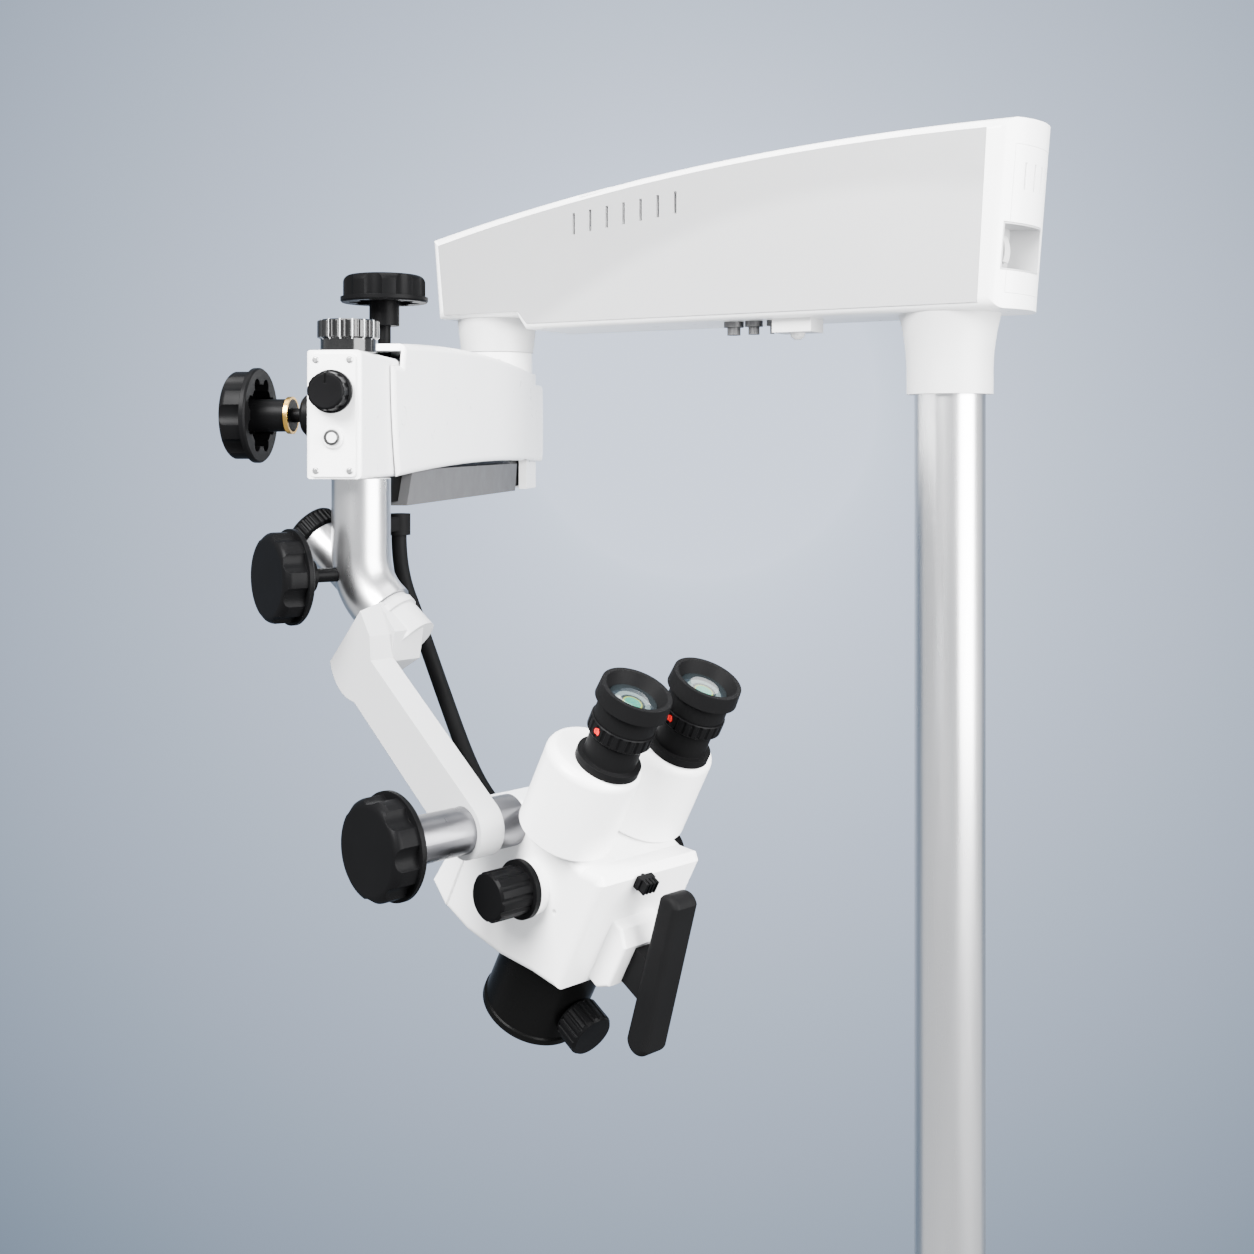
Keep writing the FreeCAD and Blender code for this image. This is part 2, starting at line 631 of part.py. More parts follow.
def rear_insert():
    """The inset panel of the rear end and the power inlet in its window."""
    panel = body("rear_panel", REAR)
    outer = S.rear_radius - S.panel_depth
    flat = sketch(panel, shift(0, 0, -S.rear_panel_half))
    rear_sector(flat, S.rear_radius - S.panel_depth - 0.1, S.rear_radius - 0.1, 38)
    pad(panel, flat, 2 * S.rear_panel_half)
    window = sketch(panel, shift(outer, 0, 0) * turn(Y_AXIS, 90) * turn(Z_AXIS, 90))
    outline(window, inlet_window())
    pocket(panel, window)
    slot = sketch(panel, shift(outer, 0, 0) * turn(Y_AXIS, 90) * turn(Z_AXIS, 90))
    outline(slot, [(-30, 24), (-27.4, 24), (-27.4, 46), (-30, 46)])
    cut = pocket(panel, slot)
    row = panel.newObject("PartDesign::LinearPattern", "rear_panel_row")
    row.Originals = [cut]
    axis = [f for f in panel.Origin.OriginFeatures if f.Role == "Y_Axis"][0]
    row.Direction = (axis, [""])
    row.Length = 57
    row.Occurrences = 6
    panel.Tip = row
    keep(panel)
    (left, low), (right, _), (_, high), _ = inlet_window()
    floor = 30
    gap = S.fit_gap
    holder = body("inlet_holder", REAR * shift(floor, 0, 0) * turn(Y_AXIS, 90) * turn(Z_AXIS, 90))
    frame = sketch(holder, ROW)
    a, b, c, d = left + gap, right - gap, low + gap, high - gap
    outline(frame, [(a, c), (b, c), (b, d), (a, d)])
    pad(holder, frame, 40)
    facing = REAR * shift(floor, 0, 0) * turn(Y_AXIS, 90) * turn(Z_AXIS, 90)
    rear_cut(holder, S.rear_radius - 0.6, facing.inverse() * REAR)
    well = sketch(holder, shift(0, 0, 8))
    outline(well, [(a + 1.5, c + 1.5), (b - 1.5, c + 1.5), (b - 1.5, d - 1.5), (a + 1.5, d - 1.5)])
    pocket(holder, well, 40)
    seats = sketch(holder, shift(0, 0, 8))
    outline(seats, [(-24, -34), (-7, -34), (-7, -11), (-24, -11)])
    pocket(holder, seats, 12, middle=True)
    keep(holder)
    face = REAR * shift(floor, 0, 0) * turn(Y_AXIS, 90) * turn(Z_AXIS, 90)
    socket = body("inlet_socket", face * shift(-34.5, -25, 8))
    pad(socket, outline(sketch(socket, ROW), [(-7, -8), (7, -8), (7, 8), (-7, 8)]), 5)
    pocket(socket, ring(sketch(socket, ROW), 0, 0, 4), 5)
    pad(socket, ring(sketch(socket, ROW), 0, 0, 1.2), 4.4)
    keep(socket)
    rocker = body("rocker_switch", face * shift(-15.5, -22.5, 8) * turn(Z_AXIS, 90))
    side = sketch(rocker, UPRIGHT)
    outline(side, [(-10.5, -3), (10.5, -3), (11, 1.5), Via(0, 5), (-11, 4)])
    pad(rocker, side, 15, middle=True)
    pad(rocker, ring(sketch(rocker, UPRIGHT), 0, -1, 1.2), 16.4, middle=True)
    keep(rocker)


def underside():
    """The flanged sockets and the small box under the arm."""
    sockets = []
    places = ((-194, 9), (-174, 8), (-156, 5))
    for i, (x, flange) in enumerate(places):
        sockets.append(turned(f"socket_{i}", shift(x, -20, S.arm_floor), [
            (0, -12), (flange - 3, -12), (flange - 3, -5), (flange, -5), (flange, 0), (0, 0)]))
    group("underside_sockets", sockets)
    box = body("sensor_box", shift(-131.5, -20, S.arm_floor))
    plan = outline(sketch(box, ROW), [(-18.5, -14), (18.5, -14), (18.5, 14), (-18.5, 14)])
    pad(box, plan, 12).Reversed = True
    dome = outline(sketch(box, UPRIGHT), [(0, -12), (7, -12), (6, -15.6), (3, -18), (0, -18)])
    made = box.newObject("PartDesign::Revolution", "sensor_dome")
    made.Profile = dome
    made.ReferenceAxis = (dome, ["V_Axis"])
    made.Angle = 360
    keep(box)


def swing_bracket():
    """The white bracket that turns under the neck and holds the links' rear pins."""
    made = body("rear_bracket", ARM)
    half, back, front = S.bracket_half, S.bracket_back, S.bracket_front
    base = sketch(made, shift(0, 0, S.bracket_foot))
    outline(base, [(-back, -half), (front, -half), (front, half), (-back, half)])
    pad(made, base, S.collar_bottom - S.bracket_foot)
    wall = S.bracket_cheek
    hollow = sketch(made, shift(0, 0, S.bracket_ceiling))
    outline(hollow, [
        (wall - back, wall - half), (front + 5, wall - half), (front + 5, half - wall),
        (wall - back, half - wall)])
    cut = pocket(made, hollow, S.bracket_ceiling - S.bracket_foot + 5)
    cut.Reversed = False
    post = sketch(made, shift(0, 0, S.collar_bottom))
    pad(made, ring(post, 0, 0, S.spindle_radius), S.beam_bottom + S.beam_height - S.collar_bottom - 4)
    for height in (S.upper_pin, S.lower_pin):
        hole = ring(sketch(made, UPRIGHT), 0, height, S.pin_radius)
        pocket(made, hole)
    keep(made)
    collar = turned("neck_collar", ARM, [
        (S.spindle_radius, S.collar_bottom), (S.collar_radius, S.collar_bottom),
        (S.collar_radius, S.neck_bottom - S.face_gap), (S.spindle_radius, S.neck_bottom - S.face_gap)])
    hole = ring(sketch(collar, shift(0, 0, (S.collar_bottom + S.neck_bottom) / 2) * turn(Z_AXIS, 14)
                       * turn(Y_AXIS, 90) * shift(0, 0, S.spindle_radius)), 0, 0, 2)
    pocket(collar, hole, 20)
    keep(collar)


def pins(name, reach, half):
    """An upper and a lower link pin."""
    made = []
    for i, height in enumerate((S.upper_pin, S.lower_pin)):
        place = ARM * shift(reach, half, height) * turn(X_AXIS, 90)
        made.append(cylinder(f"{name}_{i}", place, S.pin_radius, 2 * half))
    return group(name, made)


def taper(made, front, rear, low, high):
    """Trims a link to a plan that narrows from the rear pin to the front pin."""
    far, near = S.link_reach + 30, -40
    slope = (rear - front) / S.link_reach
    at_far, at_near = front - slope * 30, rear + slope * 40
    wide = 80
    for side in (-1, 1):
        wedge = sketch(made, shift(0, 0, high))
        outline(wedge, [
            (near, side * at_near), (far, side * at_far), (far, side * wide), (near, side * wide)])
        cut = pocket(made, wedge, high - low)
        cut.Reversed = False


def upper_link():
    """The upper link, a trough that carries the balance spring."""
    made = body("upper_link", ARM)
    low, high = S.upper_pin - S.link_end, S.upper_pin + S.link_end
    reach = S.link_reach
    side = outline(sketch(made, UPRIGHT), [
        (0, low), (reach, low), Via(reach + S.link_end, S.upper_pin), (reach, high), (0, high),
        Via(-S.link_end, S.upper_pin)])
    pad(made, side, 2 * S.link_rear_half + 8, middle=True)
    taper(made, S.link_front_half, S.link_rear_half, low - 1, high + 1)
    trough = sketch(made, shift(0, 0, low))
    outline(trough, [(40, -17), (reach - 70, -8), (reach - 70, 8), (40, 17)])
    pocket(made, trough, 2 * S.link_end - 4)
    for x in (0, reach):
        pocket(made, ring(sketch(made, UPRIGHT), x, S.upper_pin, S.pin_radius + S.run_gap))
    knob = ring(sketch(made, shift(0, 0, high)), reach - S.top_knob_inset, 0, S.knob_stem + S.run_gap)
    cut = pocket(made, knob, 12)
    cut.Reversed = False
    keep(made)
    spring = body("balance_spring", ARM * shift(60, 0, S.upper_pin - S.link_end + 5.7) * turn(Y_AXIS, 90))
    revolve(spring, [(0, 0), (7, 0), (7, 4), (8, 4), (8, 240), (5, 240), (5, 300), (0, 300)])
    keep(spring)


def lower_link():
    """The lower link, a black channel, and the grey tray under it."""
    made = body("lower_link", ARM)
    reach = S.link_reach
    low, high = S.chassis_bottom, S.chassis_top
    side = outline(sketch(made, UPRIGHT), [
        (-9, S.lower_pin - 18), (-2, low), (reach + 15, low), (reach + 15, low + 6),
        (reach + 11, S.lower_pin), Via(reach + 7, S.lower_pin + 7), (reach, high), (0, high),
        Via(-7, S.lower_pin + 6), (-9, S.lower_pin - 2)])
    pad(made, side, 2 * S.link_rear_half + 8, middle=True)
    taper(made, S.link_front_half, S.link_rear_half, low - 1, high + 1)
    trough = sketch(made, shift(0, 0, high))
    outline(trough, [(20, -19), (reach - 20, -6.5), (reach - 20, 6.5), (20, 19)])
    cut = pocket(made, trough, high - low - 3)
    cut.Reversed = False
    for x in (0, reach):
        pocket(made, ring(sketch(made, UPRIGHT), x, S.lower_pin, S.pin_radius + S.run_gap))
    keep(made)
    tray = body("link_tray", ARM)
    side = outline(sketch(tray, UPRIGHT), [
        (S.tray_rear + 8, S.tray_bottom), (S.tray_front, S.tray_bottom), (S.tray_front - 14, S.tray_top),
        (S.tray_rear, S.tray_top)])
    pad(tray, side, 80, middle=True)
    gap = S.cover_wall + 2.5
    taper(tray, S.cover_front_half - gap, S.cover_rear_half - gap, S.tray_bottom - 1, S.tray_top + 1)
    inner = sketch(tray, shift(0, 0, S.tray_top))
    slope = (S.link_rear_half - S.link_front_half) / S.link_reach
    front = S.link_front_half + slope * (S.link_reach - S.tray_front) + 0.1
    rear = S.link_rear_half + slope * 10 + 0.1
    outline(inner, [(-10, -rear), (S.tray_front + 5, -front), (S.tray_front + 5, front), (-10, rear)])
    cut = pocket(tray, inner, S.tray_top - S.chassis_bottom)
    cut.Reversed = False
    keep(tray)


def cover(side):
    """One moulded side cover of the balance arm."""
    name = "cover_left" if side > 0 else "cover_right"
    made = body(name, ARM)
    reach = S.link_reach
    shape = outline(sketch(made, UPRIGHT), [
        (reach + 10, 695.5), Via(reach + 19, 737), (reach + 22, 775), (reach, 775), (reach - 4, 791),
        Via(reach / 2, 797), (18, 790), (10, 779), (-38, 779), Via(-41.5, 740), (-38, 700),
        Via(reach / 2 - 5, 703)])
    slab = pad(made, shape, S.cover_rear_half + 4)
    slab.Reversed = side > 0
    slope = (S.cover_rear_half - S.cover_front_half) / reach
    far, near = reach + 40, -60
    wide = 90
    wedge = sketch(made, shift(0, 0, 690))
    outline(wedge, [
        (near, side * S.cover_rear_half), (0, side * S.cover_rear_half),
        (far, side * (S.cover_front_half - slope * 40)),
        (far, side * wide), (near, side * wide)])
    pocket(made, wedge, 200, middle=False)
    wedge_top = made.Tip
    wedge_top.Reversed = True
    fillet(made, 5, lambda e: on_cover_side(e, side))
    inner = S.cover_wall
    notch = sketch(made, UPRIGHT * shift(0, 0, 5 * side))
    outline(notch, [(near, 690), (50, 690), (50, 805), (near, 805)])
    pocket(made, notch, S.cover_rear_half - inner + 5).Reversed = side < 0
    hollow = sketch(made, shift(0, 0, 600))
    outline(hollow, [
        (45, -5 * side), (45, side * (S.cover_rear_half - inner - slope * 45)),
        (far, side * (S.cover_front_half - inner - slope * 40)), (far, -5 * side)])
    pocket(made, hollow, S.cover_ceiling - 600)
    for x, height, half in ((reach, 739, S.cover_front_half), (0.01, 745, S.cover_rear_half)):
        mark = sketch(made, UPRIGHT * shift(0, 0, -side * (half - 0.6)))
        pocket(made, ring(mark, x, height, 7, 6.3), 4).Reversed = side < 0
    stem = ring(sketch(made, shift(0, 0, 770)), reach - S.top_knob_inset, 0, S.knob_stem + 1.5)
    pocket(made, stem, 60)
    for x in (110, 330):
        boss = sketch(made, shift(x, side * 8, S.upper_pin + S.link_end))
        outline(boss, [(-5, -4), (5, -4), (5, 4), (-5, 4)])
        pad(made, boss, S.cover_ceiling - S.upper_pin - S.link_end + 1)
    return keep(made)


def on_cover_side(edge, side):
    """Whether an edge lies on the slanted outer face of a cover."""
    slope = (S.cover_rear_half - S.cover_front_half) / S.link_reach
    at = middle_of(edge)
    face = S.cover_rear_half - slope * max(at.x, 0)
    return abs(side * at.y - face) < 0.05


def front_block():
    """The white block at the balance arm's tip, with its pins, plate and washer."""
    made = body("front_block", ARM)
    reach = S.link_reach
    side = outline(sketch(made, UPRIGHT), [
        (S.ear_rear + 2, S.block_bottom), (S.block_front, S.block_bottom), (S.block_front, S.block_top),
        (reach, S.block_top - 1), Via(reach - 9, S.upper_pin + 8), (S.ear_rear, S.upper_pin)])
    pad(made, side, 2 * S.block_half, middle=True)
    fillet(made, 3, lambda e: middle_of(e).x > S.block_rear
           and abs(abs(middle_of(e).y) - S.block_half) < 0.01)
    gap = sketch(made, shift(0, 0, S.block_bottom - 5))
    half = S.ear_inner_half
    outline(gap, [
        (reach - 30, -half), (S.block_rear - 5, -half), (S.block_rear - 5, half), (reach - 30, half)])
    pocket(made, gap, 120)
    for height in (S.upper_pin, S.lower_pin):
        pocket(made, ring(sketch(made, UPRIGHT), reach, height, S.pin_radius))
    spigot = sketch(made, shift(0, 0, S.block_bottom - 5))
    ring(spigot, reach + S.tube_from_pin, S.tube_side, S.spigot_radius + S.run_gap)
    pocket(made, spigot, S.spigot_length + 6)
    knob = sketch(made, UPRIGHT * shift(0, 0, S.block_half + 1))
    ring(knob, S.block_front - S.side_knob_inset, S.side_knob_height, S.knob_stem + S.run_gap)
    cut = pocket(made, knob, 14)
    cut.Reversed = False
    for height, radius in ((S.dial_height, 3 + S.run_gap), (S.key_height, 3 + S.run_gap)):
        seat = sketch(made, shift(S.block_front, 0, height) * turn(Y_AXIS, 90))
        cut = pocket(made, ring(seat, 0, 0, radius), 12)
        cut.Reversed = False
    top = sketch(made, shift(0, 0, S.block_top))
    cut = pocket(made, ring(top, S.ring_reach, 0, 5 + S.run_gap), 10)
    cut.Reversed = False
    keep(made)
    pins("front_pins", reach, S.block_half)
    plate = body("front_plate", ARM * shift(S.block_front, 0, S.plate_height) * turn(Y_AXIS, 90))
    face = outline(sketch(plate, ROW), [(-40.5, -15.5), (40.5, -15.5), (40.5, 15.5), (-40.5, 15.5)])
    pad(plate, face, 1.6)
    fillet(plate, 3, lambda e: abs(middle_of(e).z - 0.8) < 0.01)
    for x in (S.plate_height - S.dial_height, S.plate_height - S.key_height):
        pocket(plate, ring(sketch(plate, ROW), x, 0, 3 + S.run_gap))
    keep(plate)
    screws = []
    for i, (x, y) in enumerate(((-36.5, -11.5), (-36.5, 11.5), (36.5, -11.5), (36.5, 11.5))):
        screws.append(turned(f"screw_{i}", plate.Placement * shift(x, y, 1.6), [
            (0, 0), (2.2, 0), (2.2, 0.5), (1.5, 1), (0, 1)]))
    group("plate_screws", screws)
    keep(turned("key_bezel", plate.Placement * shift(S.plate_height - S.key_height, 0, 1.6), [
        (5.2, 0), (7.3, 0), (7.3, 1.6), (6.6, 2.2), (5.2, 2.2)]))
    keep(turned("key_button", plate.Placement * shift(S.plate_height - S.key_height, 0, 1.6), [
        (0, -9), (3, -9), (3, 2.2), (5, 2.2), (5, 4), (4.4, 4.6), (0, 4.6)]))
    washer = ARM * shift(S.block_front - S.side_knob_inset, -S.block_half, S.side_knob_height)
    keep(turned("clamp_washer", washer * turn(X_AXIS, 90), [
        (S.knob_stem + S.run_gap, 0), (14, 0), (14, 4), (12, 6), (S.knob_stem + S.run_gap, 6)]))


def dial():
    """The round brightness knob, fluted at its rim, with a pointer groove."""
    place = ARM * shift(S.block_front + 1.6, 0, S.dial_height) * turn(Y_AXIS, 90)
    made = turned("brightness_knob", place, [
        (0, -11), (3, -11), (3, 0.3), (13.4, 0.3), (14.3, 2), (14.3, 5), (13, 6), (12.4, 15), (11, 16),
        (0, 16)])
    flute = pocket(made, ring(sketch(made, shift(0, 0, 6)), 14.6, 0, 2.6), 12)
    around(made, flute, 10)
    mark = outline(sketch(made, shift(0, 0, 15.2)), [(-12, -0.7), (-5, -0.7), (-5, 0.7), (-12, 0.7)])
    pocket(made, mark, 3)
    return keep(made)


def lobed_knob(name, place, stem, hub):
    """A clamp knob: fluted grip, flange with a hollow lobed back, hub and stem."""
    flange, high = S.knob_flange_thick, S.knob_height
    made = turned(name, place, [
        (0, -stem), (S.knob_stem, -stem), (S.knob_stem, -hub), (S.knob_hub, -hub), (S.knob_hub, 14),
        (21, 14), (21, 0), (S.knob_flange - 1, 0), (S.knob_flange, 1.2), (S.knob_flange, flange),
        (S.knob_grip, flange),
        (S.knob_grip, high - 5), Via(S.knob_grip - 1.6, high - 1.6), (S.knob_grip - 5, high), (0, high)])
    flute = pocket(made, ring(sketch(made, shift(0, 0, flange)), 38, 0, 11), high)
    around(made, flute, S.knob_lobes)
    turned_in = sketch(made, turn(Z_AXIS, 22.5))
    lobe = pocket(made, ring(turned_in, 21, 0, 5), 12)
    around(made, lobe, S.knob_lobes)
    return keep(made)


def knurled_ring(name, place, corners, radius, low, high):
    """A turned ring with upright ribs round its rim."""
    made = turned(name, place, corners)
    groove = pocket(made, ring(sketch(made, shift(0, 0, low)), radius + 0.5, 0, 1.3), high - low)
    around(made, groove, 30)
    return keep(made)


def knobs():
    """The four lobed knobs, the brass ring of one and the two knurled rings."""
    lobed_knob("top_knob", ARM * shift(S.link_reach - S.top_knob_inset, 0, 823), 52, 17)
    side = ARM * shift(
        S.block_front - S.side_knob_inset, -S.block_half - S.side_knob_gap, S.side_knob_height)
    side = side * turn(X_AXIS, 90)
    lobed_knob("left_knob", side, 48, 22)
    keep(turned("knob_ring", side, [(S.knob_hub, -22), (12.6, -22), (12.6, -19), (S.knob_hub, -19)]))
    knurled_ring("block_ring", ARM * shift(S.ring_reach, 0, S.block_top), [
        (0, -9), (5, -9), (5, 0.3), (18.8, 0.3), (18.8, 9), (20.9, 10), (20.9, 21), (19.5, 22), (15, 22),
        (15, 20),
        (0, 20)], 20.9, 10, 22)
    lobed_knob("elbow_knob", elbow_knob_place(), 40, 12)
    knurled_ring("elbow_ring", INCLINE * shift(0, 0, -45) * turn(X_AXIS, 180), [
        (0, -12), (6, -12), (6, 0.3), (16, 0.3), (18, 1.5), (18, 11), (16.5, 13), (0, 13)], 18, 1.5, 11)
    lobed_knob("head_knob", YOKE * shift(0, -129, 0) * turn(X_AXIS, 90), 28, 10.7)


def elbow_knob_place():
    """Frame of the elbow's clamp knob, its axis level and pointing outward."""
    axis = V(-0.39, -0.921, 0)
    at = V(TUBE_AXIS.Base.x, TUBE_AXIS.Base.y, S.knob_level) + axis * 48.6
    return Place(at, FreeCAD.Rotation(Z_AXIS, axis))


def drop_tube():
    """The bent tube that hangs in the front block, with its boss and gland."""
    made = body("drop_tube", ELBOW)
    top = S.block_bottom - S.face_gap - S.elbow_height
    bend = S.elbow_bend
    start = bend * math.tan(math.radians(24))
    upright = sketch(made, shift(0, 0, start))
    pad(made, ring(upright, 0, 0, S.tube_radius), top - start)
    swept = ring(sketch(made, shift(bend, 0, start)), -bend, 0, S.tube_radius)
    elbow = made.newObject("PartDesign::Revolution", "drop_tube_bend")
    elbow.Profile = swept
    elbow.ReferenceAxis = (swept, ["V_Axis"])
    elbow.Angle = 48
    elbow.Reversed = True
    down = turn(Y_AXIS, 90 + S.incline_dip)
    pad(made, ring(sketch(made, down * shift(0, 0, start)), 0, 0, S.tube_radius), S.seam_reach - start)
    pad(made, ring(sketch(made, down * shift(0, 0, -45)), 0, 0, 15), 45)
    pad(made, ring(sketch(made, shift(0, 0, top)), 0, 0, S.spigot_radius), S.spigot_length)
    pocket(made, ring(sketch(made, down * shift(0, 0, -46)), 0, 0, 6 + S.run_gap), 15)
    knob = ELBOW.inverse() * elbow_knob_place()
    pocket(made, ring(sketch(made, knob * shift(0, 0, -42)), 0, 0, S.knob_stem + S.run_gap), 30)
    pocket(made, ring(sketch(made, down * shift(0, 0, S.seam_reach - 12)), 0, 0, 10 + S.run_gap), 13)
    keep(made)
    gland = body("cable_gland", shift(*CABLE[0]))
    pad(gland, ring(sketch(gland, ROW), 0, 0, 8), 15)
    reach = CABLE[0][1] - TUBE_AXIS.Base.y
    web = outline(sketch(gland, shift(0, 0, 3)), [(-5, -reach + 19), (5, -reach + 19), (5, -4), (-5, -4)])
    pad(gland, web, 10)
    cut = shift(TUBE_AXIS.Base.x - CABLE[0][0], -reach, -1)
    pocket(gland, ring(sketch(gland, cut), 0, 0, S.tube_radius), 30)
    keep(gland)


def c_arm():
    """The bent arm that carries the head beside it."""
    made = body("c_arm", YOKE)
    inner = S.carm_outer - S.carm_thick
    slab = outline(sketch(made, UPRIGHT * shift(0, 0, inner)), [
        (10.6, 14.5), Via(17.1, 5.6), (14.5, -10.6), Via(0, -18), (-12, -13.4), (-116, 63), Via(-141, 78),
        (-145, 100),
        (-140, 118), (-112, 128), (-98, 108), (-97, 92.4)])
    pad(made, slab, S.carm_thick)
    block = outline(sketch(made, UPRIGHT * shift(0, 0, 40)), [
        (-122, 78), (-143, 100), (-140, 118), (-112, 128), (-94, 110), (-98, 90)])
    pad(made, block, inner - 39)
    local = YOKE.inverse() * INCLINE
    hub = sketch(made, local * shift(0, 0, S.seam_reach + S.face_gap))
    pad(made, ring(hub, 0, 0, S.hub_tube_radius), S.hub_tip - S.seam_reach - S.face_gap)
    pad(made, ring(sketch(made, local * shift(0, 0, S.seam_reach + 4)), 0, 0, S.hub_tube_radius + 1.4), 5)
    clear = sketch(made, local * shift(0, 0, S.seam_reach + S.face_gap))
    cut = pocket(made, ring(clear, 0, 0, 70), 70)
    cut.Reversed = False
    spigot = sketch(made, local * shift(0, 0, S.seam_reach - 10))
    pad(made, ring(spigot, 0, 0, 10), 14)
    pocket(made, ring(sketch(made, UPRIGHT), 0, 0, S.shaft_radius + S.run_gap))
    keep(made)


def head():
    """The optical head, its rear cover, tilt shaft and handle."""
    made = body("head_shell", HEAD)
    front = S.head_front
    side = outline(sketch(made, UPRIGHT), [
        (-26, -93), (0, -91), (32, -82), (60, -70), (front, -62), (front, 18), (front - 5, 22),
        (66, 16), (2, 16), (-26, -2)])
    pad(made, side, 2 * S.head_half, middle=True)
    fillet(made, 5, lambda e: abs(abs(middle_of(e).y) - S.head_half) < 0.01)
    for lateral in (-S.barrel_spread, S.barrel_spread):
        seat = sketch(made, shift(0, 0, 16))
        cut = pocket(made, ring(seat, S.barrel_offset, lateral, 10 + S.run_gap), 15)
        cut.Reversed = False
    low = sketch(made, shift(0, 0, -100))
    pocket(made, ring(low, S.optic_offset, 0, S.objective_radius + S.run_gap), 42)
    pad(made, ring(sketch(made, UPRIGHT), 36, -22, 17), 2 * S.head_half + 14, middle=True)
    pocket(made, ring(sketch(made, UPRIGHT), 36, -22, 6 + S.run_gap))
    pivot = sketch(made, shift(front, -8, 16) * turn(Y_AXIS, 90))
    cut = pocket(made, ring(pivot, 0, 0, 3 + S.run_gap), 8)
    cut.Reversed = False
    pocket(made, ring(sketch(made, UPRIGHT * shift(0, 0, S.head_half - 3)), 60, -22, 2), 10)
    keep(made)
    cover_back = body("head_rear_cover", HEAD)
    outline_back = outline(sketch(cover_back, UPRIGHT), [
        (-26, -2.5), (-34, -10), (-46, -88), (-28, -93.5), (-26, -93)])
    pad(cover_back, outline_back, 2 * S.head_half - 2, middle=True)
    fillet(cover_back, 4, lambda e: middle_of(e).x < -27
           and abs(abs(middle_of(e).y) - S.head_half + 1) < 0.01)
    socket = sketch(cover_back, shift(-48, 8, -50) * turn(Y_AXIS, 90))
    pad(cover_back, ring(socket, 0, 0, 8), 10)
    keep(cover_back)
    keep(turned("tilt_shaft", YOKE * shift(0, -S.head_half, 0) * turn(X_AXIS, 90), [
        (0, 0), (S.boss_radius, 0), (S.boss_radius, 18), (S.shaft_radius, 18.5),
        (S.shaft_radius, S.shaft_tip - S.head_half), (S.knob_stem + S.run_gap, S.shaft_tip - S.head_half),
        (S.knob_stem + S.run_gap, 55), (0, 55)]))
    bracket = body("handle_bracket", HEAD)
    pad(bracket, outline(sketch(bracket, UPRIGHT), [
        (front, -60), (front, -14), (front + 8, -14), (front + 16, -22), (front + 16, -52),
        (front + 8, -60)]), 36, middle=True)
    fillet(bracket, 2, lambda e: abs(abs(middle_of(e).y) - 18) < 0.01 and middle_of(e).x > front + 1)
    keep(bracket)
    grip = body("t_handle", HEAD)
    bar = sketch(grip, UPRIGHT)
    outline(bar, [
        (101, 16.5), Via(107.6, 23), (116.6, 20), (137.7, -72), Via(131, -80.5), (120.2, -76)])
    pad(grip, bar, 20, middle=True)
    fillet(grip, 4, lambda e: abs(abs(middle_of(e).y) - 10) < 0.01)
    pad(grip, outline(sketch(grip, UPRIGHT), [
        (front + 16, -50), (front + 32, -50), (front + 32, -24), (front + 16, -24)]), 16, middle=True)
    keep(grip)


def optics():
    """Barrels, eyepieces, dioptre rings, lenses, objective and its knob."""
    for name, lateral in (("left", -1), ("right", 1)):
        barrel = body("barrel_" + name, HEAD * shift(S.barrel_offset, lateral * S.barrel_spread, 0))
        low, high = S.barrel_bottom, S.barrel_top
        revolve(barrel, [
            (0, 2), (10, 2), (10, low - 0.7), (S.barrel_radius - 3, low - 0.7), (S.barrel_radius, low + 2),
            (S.barrel_radius, high - 6), Via(S.barrel_radius - 1.8, high - 1.8),
            (S.barrel_radius - 6, high), (0, high)])
        keep(barrel)
        place = HEAD * shift(S.eye_offset, lateral * S.eye_spread, S.barrel_top)
        keep(turned("eyepiece_" + name, place, [
            (0, 0), (20, 0), (20, 5), (16.5, 5), (16.5, 21), (15, 21), (15, 31), (19, 31), (19, 41),
            (20, 42), (S.cup_radius, 43), (S.cup_radius - 0.7, 53), (19, 53), (15, 45), (0, 45)]))
        dioptre = turned("dioptre_ring_" + name, place, [
            (15 + S.run_gap, 21.3), (19.4, 21.3), (20, 22), (20, 30), (19.4, 30.7), (15 + S.run_gap, 30.7)])
        groove = pocket(dioptre, ring(sketch(dioptre, shift(0, 0, 22)), 20.5, 0, 1.3), 8)
        around(dioptre, groove, 24)
        keep(dioptre)
        keep(turned("eye_lens_" + name, place, [(0, 45), (14.95, 45), (14.95, 46), (9, 47.6), (0, 47.6)]))
    optic = HEAD * shift(S.optic_offset, 0, 0)
    housing = turned("objective_housing", optic, [
        (0, -59), (S.objective_radius, -59), (S.objective_radius, -126), (S.objective_radius + 1, -127),
        (S.objective_radius + 1, -131), (S.objective_radius, -132), (28, -132), (26 + S.run_gap, -128),
        (26 + S.run_gap, -100), (0, -100)])
    seat = sketch(housing, shift(0, 0, -93) * turn(Y_AXIS, 90))
    pocket(housing, ring(seat, 14, 0, 4 + S.run_gap), 40)
    keep(housing)
    keep(turned("objective_lens", optic, [(0, -108), (26, -108), (26, -116), (14, -118.5), (0, -118.5)]))
    focus = turned("focus_knob", optic * shift(33, 0, -107) * turn(Y_AXIS, 90), [
        (0, -6), (4, -6), (4, 1.5), (14, 1.5), (15, 3), (15, 18), (13.5, 20), (0, 20)])
    groove = pocket(focus, ring(sketch(focus, shift(0, 0, 3)), 15.6, 0, 1.4), 18)
    around(focus, groove, 20)
    keep(focus)


